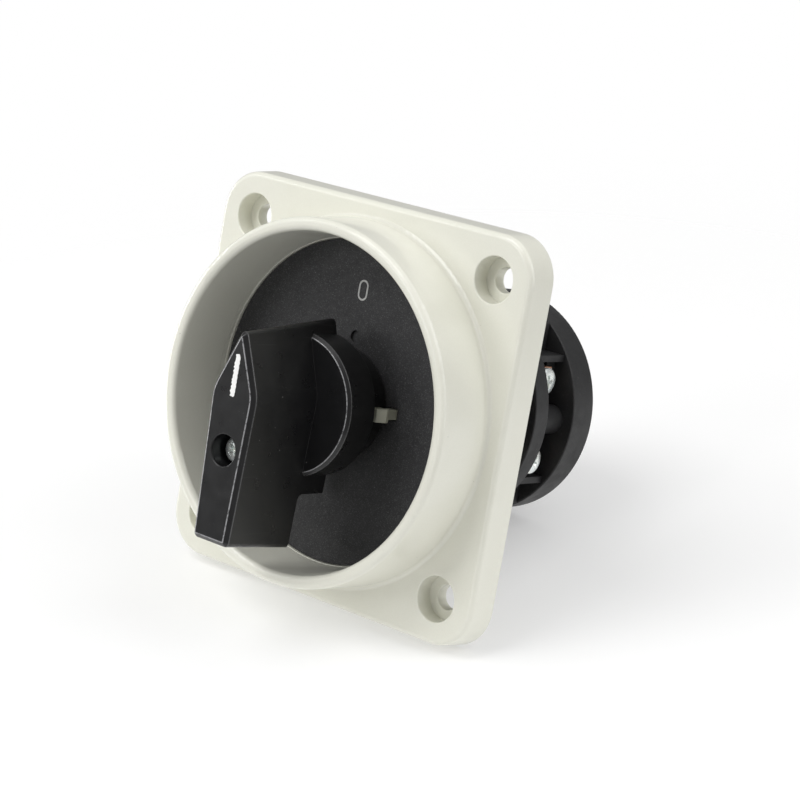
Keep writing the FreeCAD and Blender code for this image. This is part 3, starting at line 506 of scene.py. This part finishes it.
def ejector_marks():
    """Round witness marks of the mould's pins on the plate's hollow back."""
    solid = bmesh.new()
    for index in range(8):
        angle = math.radians(22.5 + 45 * index)
        reach = PIN_REACHES[index % 2]
        place = (reach * math.cos(angle), PLATE_FLOOR, reach * math.sin(angle))
        turn = Matrix.Translation(Vector(place) * MM)
        lathe(solid, [(0, 0.16 * MM), (1.35 * MM, 0.16 * MM), (1.45 * MM, 0.30 * MM),
                      (1.85 * MM, 0.28 * MM), (1.95 * MM, -0.05 * MM)], turn, 40)
    return piece("plate_ejector_marks", solid, "housing", "beige_plastic")


ejector_marks()


# ---------------------------------------------------------------- handle
# All in millimetres; the blade runs from its back, near the plate, to its front.
TIP_BACK, TIP_FRONT = 20.6, 16.8
TAIL_BACK, TAIL_FRONT = 30.8, 29.05
SHOULDER = (6.17, 2.7)
TAIL_HALF = 4.92
handle_low, handle_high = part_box("handle")
HANDLE_FRONT, HANDLE_BACK = handle_low.y / MM, handle_high.y / MM
BASE_RADIUS, BASE_FRONT = handle_high.x / MM, -22.6
BLADE_BEVEL = 0.9
BLADE_ROUNDS = (1.05, 9.0, 1.1, 1.1, 9.0)
BACK_ROUND = 0.9
SOFT = 0.13
LEAST_ROUND = 0.04
STEP_PLACE, TAIL_UNDER, STEP_ROUND = -18.4, -22.5, 1.2
SOCKET_RADIUS, SOCKET_FLOOR = 12.1, -19.1
BORE_RADIUS, SHANK_HOLE = 3.3, 1.7
BASE_STEPS = 144
SCREW_CHEESE = 1.8


def rounded_outline(corners, radii, inset, steps=10):
    """A closed outline in (x, z) with every corner an arc, moved inwards by an inset."""
    count = len(corners)
    points = []
    for index in range(count):
        here = Vector(corners[index])
        before = (Vector(corners[index - 1]) - here).normalized()
        after = (Vector(corners[(index + 1) % count]) - here).normalized()
        half = before.angle(after) / 2
        inward = (before + after).normalized()
        radius = radii[index]
        centre = here + inward * (radius / math.sin(half))
        reach = max(radius - inset, LEAST_ROUND)
        if radius < inset + LEAST_ROUND:
            centre = here + inward * (inset / math.sin(half)) + inward * (reach / math.sin(half))
        sweep = math.pi / 2 - half
        turn = 1 if before.x * after.y - before.y * after.x < 0 else -1
        for step in range(steps + 1):
            angle = -sweep + 2 * sweep * step / steps
            arm = -inward
            c, s = math.cos(turn * angle), math.sin(turn * angle)
            points.append(centre + reach * Vector((arm.x * c - arm.y * s, arm.x * s + arm.y * c)))
    return points


def blade_outline(y, inset):
    """The blade's cross section at a depth: a pointed top and a narrower, rounded tail."""
    share = (y - HANDLE_BACK) / (HANDLE_FRONT - HANDLE_BACK)
    tip = TIP_BACK + (TIP_FRONT - TIP_BACK) * share
    tail = TAIL_BACK + (TAIL_FRONT - TAIL_BACK) * share
    corners = [(0, tip), (-SHOULDER[0], SHOULDER[1]), (-TAIL_HALF, -tail), (TAIL_HALF, -tail),
               (SHOULDER[0], SHOULDER[1])]
    return rounded_outline(corners, BLADE_ROUNDS, inset)


def handle_form():
    """The handle: a bevelled blade across a round base, with its screw bore and socket."""
    back = [(HANDLE_BACK - BACK_ROUND * (1 - math.sin(math.radians(angle))),
             BACK_ROUND * (1 - math.cos(math.radians(angle)))) for angle in (90, 72, 54, 36, 18, 0)]
    bevel = [(BLADE_BEVEL + 1.6 * SOFT, 0), (BLADE_BEVEL + 0.75 * SOFT, 0.10 * SOFT),
             (BLADE_BEVEL + 0.1 * SOFT, 0.38 * SOFT), (BLADE_BEVEL - 0.5 * SOFT, 0.78 * SOFT),
             (0.78 * SOFT, BLADE_BEVEL - 0.5 * SOFT), (0.38 * SOFT, BLADE_BEVEL + 0.1 * SOFT),
             (0.10 * SOFT, BLADE_BEVEL + 0.75 * SOFT), (0, BLADE_BEVEL + 1.6 * SOFT)]
    levels = back + [(y, 0) for y in (-18.0, -25.0, -32.0, -38.0)]
    first = len(levels)
    levels += [(HANDLE_FRONT + rise, inset) for rise, inset in bevel]
    rings = [[(point.x, y, point.y) for point in blade_outline(y, inset)]
             for y, inset in levels]
    bend = TAIL_UNDER + STEP_ROUND
    beside, below, behind = 24.0, -40.0, -8.0
    step = [(STEP_PLACE, behind), (STEP_PLACE, bend)]
    step += [(STEP_PLACE - STEP_ROUND * (1 - math.cos(math.radians(angle))),
              bend - STEP_ROUND * math.sin(math.radians(angle)))
             for angle in (15, 30, 45, 60, 75, 90)]
    step += [(below, TAIL_UNDER), (below, behind)]
    block = shell_from([[(x, y, z) for z, y in step] for x in (-beside, beside)])
    # The bevel's edge bands take the painted highlight finishes.
    blade = banded(shell_from(rings), len(rings[0]), {
        first: VERGE, first + 1: VERGE, first + 2: VERGE,
        first + 4: RIDGE, first + 5: RIDGE, first + 6: RIDGE})
    base = turned_solid([
        (0, BASE_FRONT), (BASE_RADIUS - 0.85, BASE_FRONT), (BASE_RADIUS - 0.74, BASE_FRONT + 0.03),
        (BASE_RADIUS - 0.64, BASE_FRONT + 0.11), (BASE_RADIUS - 0.11, BASE_FRONT + 0.64),
        (BASE_RADIUS - 0.03, BASE_FRONT + 0.74), (BASE_RADIUS, BASE_FRONT + 0.85),
        (BASE_RADIUS, HANDLE_BACK - 0.40), (BASE_RADIUS - 0.07, HANDLE_BACK - 0.24),
        (BASE_RADIUS - 0.24, HANDLE_BACK - 0.07), (BASE_RADIUS - 0.42, HANDLE_BACK),
        (0, HANDLE_BACK)], steps=BASE_STEPS)
    # The base's chamfer edges take the painted highlight finishes too.
    base = banded(base, BASE_STEPS, {1: RIDGE, 2: RIDGE, 4: VERGE, 5: VERGE})
    screw_low, screw_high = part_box("handle_screw")
    centre = (screw_low.z + screw_high.z) / 2 / MM
    seat = screw_low.y / MM + SCREW_CHEESE
    bore = turned_solid([
        (0, HANDLE_FRONT - 2), (BORE_RADIUS + 0.9, HANDLE_FRONT - 2),
        (BORE_RADIUS + 0.22, HANDLE_FRONT + 0.01), (BORE_RADIUS + 0.10, HANDLE_FRONT + 0.07),
        (BORE_RADIUS + 0.02, HANDLE_FRONT + 0.18), (BORE_RADIUS, HANDLE_FRONT + 0.4),
        (BORE_RADIUS, seat), (SHANK_HOLE, seat), (SHANK_HOLE, behind), (0, behind)],
        (0, 0, centre), 72)
    socket = turned_solid([(0, SOCKET_FLOOR), (SOCKET_RADIUS, SOCKET_FLOOR),
                           (SOCKET_RADIUS, behind), (0, behind)])
    shape = combined(blade, [("DIFFERENCE", block), ("UNION", base), ("DIFFERENCE", bore),
                             ("DIFFERENCE", socket)])
    solid = bmesh.new()
    solid.from_mesh(shape)
    return piece("handle_form", solid, "rotor", "handle_black", ("handle",), HANDLE_FINISHES[1:])


handle_form()

# How far the paint of the pointer's line creeps, in millimetres, on its left and right sides.
RAGGED_SIDE, EVEN_SIDE = 0.052, 0.018
PAINT_PROFILE = ((0.02, 0.20), (-0.05, -0.012), (0.02, -0.035), (0.16, -0.024))


def stadium_point(share, half, straight):
    """A point and its outward normal at a share of the way round an upright bar's outline."""
    arc = math.pi * half
    travel = share * (2 * arc + 4 * straight)
    if travel < 2 * straight:
        return Vector((half, -straight + travel)), Vector((1, 0))
    travel -= 2 * straight
    if travel < arc:
        normal = Vector((math.cos(travel / half), math.sin(travel / half)))
        return Vector((0, straight)) + half * normal, normal
    travel -= arc
    if travel < 2 * straight:
        return Vector((-half, straight - travel)), Vector((-1, 0))
    travel -= 2 * straight
    normal = Vector((-math.cos(travel / half), -math.sin(travel / half)))
    return Vector((0, -straight)) + half * normal, normal


def pointer_mark():
    """The white line on the handle: paint that has crept unevenly over the groove's edges."""
    low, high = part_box("handle_pointer_mark")
    half = (high.x - low.x) / 2
    straight = (high.z - low.z) / 2 - half
    centre = (low.z + high.z) / 2
    chance = random.Random(11)
    waves = [(chance.randint(5, 34), chance.uniform(0, 6.28), chance.uniform(0.3, 1.0))
             for _ in range(10)]
    count = 220
    solid = bmesh.new()
    rings = []
    for inset, front in PAINT_PROFILE:
        ring = []
        for step in range(count):
            share = step / count
            point, normal = stadium_point(share, half, straight)
            creep = sum(height * math.sin(rate * 2 * math.pi * share + shift)
                        for rate, shift, height in waves)
            uneven = RAGGED_SIDE if normal.x < 0 else EVEN_SIDE
            point = point + normal * (uneven * creep - inset) * MM
            ring.append(solid.verts.new((point.x, low.y + front * MM, centre + point.y)))
        rings.append(ring)
    skin(solid, rings)
    solid.faces.new(rings[-1])
    solid.faces.new(reversed(rings[0]))
    return piece("pointer_paint", solid, "rotor", "mark_white", ("handle_pointer_mark",))


pointer_mark()

# ---------------------------------------------------------------- screws and clamps
# In millimetres: head radii of two kinds of screw, and the clamp plates' measures.
TIE_HEAD, FIXING_HEAD = 3.4, 3.6
CLAMP_THICK, CLAMP_HALF, CLAMP_CORNER, CLAMP_HOLE = 0.7, 2.95, 0.7, 1.95

chance = random.Random(5)
terminals = [mount for mount in record["mounts"] if mount["name"].startswith("wire_terminal")]
seats = [(mount["pos_m"], mount["axis"]) for mount in terminals]
screws("terminal_screw_set", screw_mesh(head=3.0, cheese=1.6, shank=1.7, total=5.6, long=3.3),
       seats, "housing", "terminal_screws", chance)


def clamp_plates():
    """Square wire clamps under the terminal screws, with rounded corners and turned-in edges."""
    low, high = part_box("terminal_clamps")
    outer = high.x / MM
    inner = outer - CLAMP_THICK
    core = CLAMP_HALF - CLAMP_CORNER
    count = 72
    solid = bmesh.new()
    for place, axis in seats:
        side = 1 if axis[0] > 0 else -1
        rings = []
        for x, swell, bore in ((inner, -0.15, None), (inner + 0.1, 0.0, None),
                               (outer - 0.18, 0.0, None), (outer, -0.2, None),
                               (outer, None, 0.15), (outer - 0.12, None, 0.0),
                               (inner, None, 0.0)):
            ring = []
            for step in range(count):
                angle = 2 * math.pi * step / count
                c, s = math.cos(angle), math.sin(angle)
                if swell is None:
                    u, v = (CLAMP_HOLE + bore) * c, (CLAMP_HOLE + bore) * s
                else:
                    reach = CLAMP_CORNER + swell
                    stretch = core / max(abs(c), abs(s))
                    u = max(-core, min(core, stretch * c)) + reach * c
                    v = max(-core, min(core, stretch * s)) + reach * s
                ring.append(solid.verts.new((side * x * MM, place[1] + u * MM, place[2] + v * MM)))
            rings.append(ring)
        rings.append(rings[0])
        skin(solid, rings)
    return piece("terminal_clamp_set", solid, "housing", "zinc_steel", ("terminal_clamps",))


clamp_plates()
tie_low, tie_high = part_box("tie_screws")
tie_reach = tie_high.x - TIE_HEAD * MM
screws("tie_screw_set",
       screw_mesh(TIE_HEAD, cheese=2.4, shank=1.9, total=(tie_high.y - tie_low.y) / MM, long=3.8),
       [((side * tie_reach, tie_high.y, 0), (0, 1, 0)) for side in (-1, 1)], "housing",
       "tie_screws", chance)
fixing_low, fixing_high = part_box("front_plate_screws")
fixing_reach = fixing_high.z - FIXING_HEAD * MM
screws("fixing_screw_set",
       screw_mesh(FIXING_HEAD, cheese=2.0, shank=1.9, total=(fixing_high.y - fixing_low.y) / MM,
                  long=3.6),
       [((0, fixing_low.y, side * fixing_reach), (0, -1, 0)) for side in (-1, 1)], "housing",
       "front_plate_screws", chance)
screw_low, screw_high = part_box("handle_screw")
screws("handle_screw_form",
       screw_mesh(head=2.6, cheese=SCREW_CHEESE, shank=1.5,
                  total=(screw_high.y - screw_low.y) / MM, long=3.2),
       [((0, screw_low.y, (screw_low.z + screw_high.z) / 2), (0, -1, 0))], "rotor",
       "handle_screw", chance)


# ---------------------------------------------------------------- rear cover
# In millimetres.
DISH_DEPTH = 1.0
RING_RADII = (4.6, 9.4)
GUSSET_ENDS = (4.8, 9.2)
PIN_CIRCLE = 11.8


def cover_ribs():
    """Moulded rings, gussets and pin marks in the rear cover's dish."""
    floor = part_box("rear_cover")[1].y / MM - DISH_DEPTH
    solid = bmesh.new()
    for radius in RING_RADII:
        outline = [(radius - 0.45, floor - 0.05), (radius - 0.3, floor + 0.45),
                   (radius - 0.18, floor + 0.55), (radius + 0.18, floor + 0.55),
                   (radius + 0.3, floor + 0.45), (radius + 0.45, floor - 0.05)]
        lathe(solid, [(r * MM, y * MM) for r, y in outline], Matrix(), 96)
    for index in range(6):
        turn = Matrix.Rotation(math.radians(60 * index + 30), 4, "Y")
        sections = []
        for x in GUSSET_ENDS:
            sections.append([solid.verts.new(turn @ Vector((x * MM, y * MM, z * MM)))
                             for y, z in ((floor - 0.05, -0.42), (floor + 0.38, -0.24),
                                          (floor + 0.45, 0.0), (floor + 0.38, 0.24),
                                          (floor - 0.05, 0.42))])
        for step in range(4):
            solid.faces.new((sections[0][step], sections[0][step + 1],
                             sections[1][step + 1], sections[1][step]))
    for index in range(4):
        angle = math.radians(45 + 90 * index)
        place = Vector((PIN_CIRCLE * math.cos(angle), 0, PIN_CIRCLE * math.sin(angle)))
        turn = Matrix.Translation(place * MM)
        lathe(solid, [(0, (floor + 0.04) * MM), (0.95 * MM, (floor + 0.04) * MM),
                      (1.05 * MM, (floor + 0.12) * MM), (1.3 * MM, (floor + 0.10) * MM),
                      (1.4 * MM, (floor - 0.05) * MM)], turn, 32)
    return piece("cover_dish_ribs", solid, "housing", "bakelite")


cover_ribs()

# ---------------------------------------------------------------- finishes of the CAD's pieces
for node in frame["nodes"].values():
    for place in node.material_slots:
        place.material = finishes[place.material.name.split(".")[0]]

# ---------------------------------------------------------------- camera
# In metres and radians; the roll leans the upright part to the right in the picture.
CAMERA_PLACE = Vector((0.35613, -0.43421, 0.09473))
CAMERA_AZIMUTH = math.radians(38.57)
CAMERA_ELEVATION = math.radians(9.405)
CAMERA_ROLL = math.radians(-10.06)
CAMERA_LENS = 118.40


def add_camera():
    """The photograph's viewpoint."""
    ahead = Vector((-math.sin(CAMERA_AZIMUTH) * math.cos(CAMERA_ELEVATION),
                    math.cos(CAMERA_AZIMUTH) * math.cos(CAMERA_ELEVATION),
                    -math.sin(CAMERA_ELEVATION)))
    right = Vector((math.cos(CAMERA_AZIMUTH), math.sin(CAMERA_AZIMUTH), 0))
    down = ahead.cross(right)
    rolled_right = math.cos(CAMERA_ROLL) * right + math.sin(CAMERA_ROLL) * down
    rolled_up = math.sin(CAMERA_ROLL) * right - math.cos(CAMERA_ROLL) * down
    turn = Matrix((rolled_right, rolled_up, -ahead)).transposed()
    camera = bpy.data.objects.new("camera", bpy.data.cameras.new("camera"))
    camera.data.lens = CAMERA_LENS
    camera.data.sensor_width = 36
    camera.data.clip_start = 0.01
    camera.data.clip_end = 10
    camera.matrix_world = Matrix.Translation(CAMERA_PLACE) @ turn.to_4x4()
    scene.collection.objects.link(camera)
    scene.camera = camera


add_camera()

# ---------------------------------------------------------------- stage and light
# The switch rests on its plate's lower edge and its rear cover's rim; lengths in metres.
PLATE_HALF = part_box("front_plate")[1].z
COVER_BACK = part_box("rear_cover")[1].y
COVER_RIM = 0.0252
REST_SLOPE = math.atan2(PLATE_HALF - COVER_RIM, COVER_BACK)
PAPER = (0.66, 0.66, 0.66, 1)
FLOOR_REACH = 0.30
FADE_START, FADE_END = 0.45, 0.98
FLOOR_LIFT = 0.32


def add_floor():
    """The pale sheet that the tilted switch rests on; it fades into the white surroundings."""
    mesh = bpy.data.meshes.new("floor")
    floor = bpy.data.objects.new("floor", mesh)
    scene.collection.objects.link(floor)
    disc = bmesh.new()
    bmesh.ops.create_circle(disc, cap_ends=True, radius=FLOOR_REACH, segments=96)
    disc.to_mesh(mesh)
    disc.free()
    floor.location = (0, 0, -PLATE_HALF)
    floor.rotation_euler = (REST_SLOPE, 0, 0)
    material = bpy.data.materials.new("floor_paper")
    material.use_nodes = True
    tree = material.node_tree
    paper = tree.nodes["Principled BSDF"]
    paper.inputs["Base Color"].default_value = PAPER
    paper.inputs["Roughness"].default_value = 0.9
    paper.inputs["Emission Color"].default_value = (1, 1, 1, 1)
    paper.inputs["Emission Strength"].default_value = FLOOR_LIFT
    clear = tree.nodes.new("ShaderNodeBsdfTransparent")
    distance = tree.nodes.new("ShaderNodeVectorMath")
    distance.operation = "LENGTH"
    coordinates = tree.nodes.new("ShaderNodeTexCoord")
    tree.links.new(coordinates.outputs["Object"], distance.inputs[0])
    fade = tree.nodes.new("ShaderNodeMapRange")
    fade.interpolation_type = "SMOOTHSTEP"
    fade.inputs["From Min"].default_value = FLOOR_REACH * FADE_START
    fade.inputs["From Max"].default_value = FLOOR_REACH * FADE_END
    tree.links.new(distance.outputs["Value"], fade.inputs["Value"])
    side = tree.nodes.new("ShaderNodeNewGeometry")
    either = tree.nodes.new("ShaderNodeMath")
    either.operation = "MAXIMUM"
    tree.links.new(fade.outputs["Result"], either.inputs[0])
    tree.links.new(side.outputs["Backfacing"], either.inputs[1])
    mix = tree.nodes.new("ShaderNodeMixShader")
    tree.links.new(either.outputs[0], mix.inputs[0])
    tree.links.new(paper.outputs[0], mix.inputs[1])
    tree.links.new(clear.outputs[0], mix.inputs[2])
    tree.links.new(mix.outputs[0], tree.nodes["Material Output"].inputs["Surface"])
    mesh.materials.append(material)


add_floor()


def area(name, place, size, watts):
    """A softbox aimed at the part."""
    light = bpy.data.objects.new(name, bpy.data.lights.new(name, "AREA"))
    light.data.shape = "RECTANGLE"
    light.data.size, light.data.size_y = size
    light.data.energy = watts
    light.location = place
    light.rotation_euler = (-Vector(place)).to_track_quat("-Z", "Y").to_euler()
    scene.collection.objects.link(light)


# Where each softbox stands and its width and height, in metres, and its power in watts.
LIGHTS = {
    "key_light": ((-0.28, -0.75, 0.78), (0.6, 0.6), 4.8),
    "left_light": ((-0.80, -0.75, 0.30), (0.6, 0.5), 0.6),
    "right_light": ((0.95, 0.20, 0.40), (0.6, 0.9), 2.5),
    "back_light": ((0.10, 0.25, 1.05), (0.7, 0.7), 1.2),
    "top_light": ((0.75, -0.10, 0.80), (0.6, 0.6), 2.3),
    "gleam_light": ((-0.46, -0.92, 0.10), (0.30, 0.30), 1.4),
    "front_strip": ((0.12, -0.98, -0.14), (0.06, 0.50), 0.7),
    "top_strip": ((-0.69, -0.72, 0.46), (0.50, 0.06), 0.7),
    "side_strip": ((-0.98, -0.20, -0.08), (0.25, 0.60), 3.0),
    "over_light": ((0.05, -0.10, 0.42), (0.40, 0.40), 0.24),
}
for light_name, (light_place, light_size, light_power) in LIGHTS.items():
    area(light_name, light_place, light_size, light_power)
AMBIENT = 0.31


def add_world():
    """White for the camera, and a dimmer even light on the part."""
    world = bpy.data.worlds.new("studio")
    scene.world = world
    world.use_nodes = True
    tree = world.node_tree
    background = tree.nodes["Background"]
    background.inputs["Color"].default_value = (1, 1, 1, 1)
    path = tree.nodes.new("ShaderNodeLightPath")
    strength = tree.nodes.new("ShaderNodeMapRange")
    strength.inputs["To Min"].default_value = AMBIENT
    strength.inputs["To Max"].default_value = 1.0
    tree.links.new(path.outputs["Is Camera Ray"], strength.inputs["Value"])
    tree.links.new(strength.outputs["Result"], background.inputs["Strength"])


add_world()
scene.view_settings.view_transform = "Standard"
